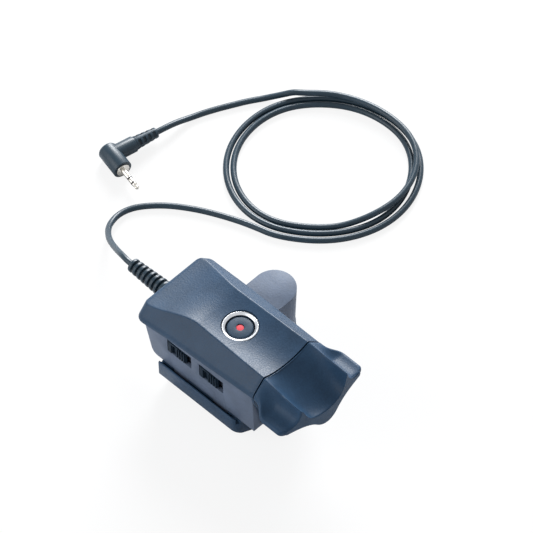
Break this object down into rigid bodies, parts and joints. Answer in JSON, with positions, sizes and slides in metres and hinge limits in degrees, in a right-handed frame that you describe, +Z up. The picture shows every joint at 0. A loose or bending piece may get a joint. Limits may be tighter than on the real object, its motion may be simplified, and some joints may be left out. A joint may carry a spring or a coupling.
{
  "type": "camera zoom remote control",
  "caption": "Slate-grey camera zoom remote for a pan bar: scooped thumb rocker, record button, two slide switches, screw clamp and a coiled lead with a right-angle 2.5 mm plug.",
  "frame": {"origin": "The middle of the clamp jaw's flat underside, on the table, below the pan bar's axis.", "axes": "+X along the pan bar's bore from the lead to the rocker, +Y to the side of the clamp screw, +Z up."},
  "size_m": [0.2039, 0.19, 0.052],
  "materials": {
    "shell_plastic": "moulded, fine even grain, slate blue grey",
    "panel_plastic": "moulded, fine even grain, lighter grey",
    "switch_plastic": "dark, satin",
    "black_plastic": "black, satin",
    "ivory_plastic": "ivory nylon",
    "red_plastic": "red, smooth",
    "bright_metal": "bright plated",
    "steel": "plain",
    "brass": "turned",
    "board": "green board",
    "rubber": "soft, satin, dark slate"
  },
  "bodies": {
    "root": {"top_cover": "shell_plastic", "lower_housing": "panel_plastic", "button_ring": "bright_metal", "tact_switch": "steel", "circuit_board": "board", "processor_chip": "black_plastic", "cord_header": "ivory_plastic", "inner_wires": "rubber", "switch_board": "board", "switch_body_rear": "steel", "switch_body_front": "steel", "angle_sensor": "board", "shaft_bush": "brass", "centring_spring": "steel", "case_screws": "steel", "hinge_pin": "steel", "saddle_pad": "rubber", "nut_insert": "brass", "strain_relief": "rubber", "cord_lead": "rubber", "cord_loops": "rubber", "cord_tail": "rubber", "plug_boot": "rubber", "plug_body": "rubber", "plug_sleeve": "bright_metal", "plug_ring": "bright_metal", "plug_tip": "bright_metal", "plug_insulators": "black_plastic"},
    "rocker": {"zoom_rocker": "shell_plastic", "rocker_shaft": "steel", "return_arm": "black_plastic"},
    "button": {"record_button": "shell_plastic", "button_dot": "red_plastic", "switch_plunger": "black_plastic"},
    "slider_rear": {"switch_slider_rear": "switch_plastic"},
    "slider_front": {"switch_slider_front": "switch_plastic"},
    "jaw": {"clamp_jaw": "shell_plastic", "jaw_pad": "rubber"},
    "washer": {"thrust_washer": "steel"},
    "knob": {"clamp_knob": "black_plastic", "clamp_screw": "steel"}
  },
  "joints": [
    {"name": "rocker_tilt", "type": "hinge", "parent": "root", "child": "rocker", "pos_m": [0.045, 0, 0.032], "axis": [1, 0, 0], "range_deg": [-20, 20], "stiffness_Nm_per_rad": 0.06},
    {"name": "button_press", "type": "slide", "parent": "root", "child": "button", "axis": [0, 0, -1], "range_m": [0, 0.0008], "stiffness_N_per_m": 400},
    {"name": "rear_switch_slide", "type": "slide", "parent": "root", "child": "slider_rear", "axis": [1, 0, 0], "range_m": [0, 0.0028]},
    {"name": "front_switch_slide", "type": "slide", "parent": "root", "child": "slider_front", "axis": [1, 0, 0], "range_m": [0, 0.0028]},
    {"name": "jaw_swing", "type": "hinge", "parent": "root", "child": "jaw", "pos_m": [0, -0.0175, 0.0112], "axis": [-1, 0, 0], "range_deg": [0, 8.9]},
    {"name": "washer_travel", "type": "slide", "parent": "root", "child": "washer", "axis": [0, 0, -1], "range_m": [0, 0.008]},
    {"name": "knob_turn", "type": "hinge", "parent": "washer", "child": "knob", "pos_m": [-0.0054, 0.034, 0.002], "axis": [0, 0, 1], "range_deg": [0, 3600]}
  ],
  "couplings": [
    {"joint": "knob_turn", "follows": "washer_travel", "rad_per_m": 7854},
    {"joint": "jaw_swing", "follows": "washer_travel", "rad_per_m": 19.417}
  ]
}
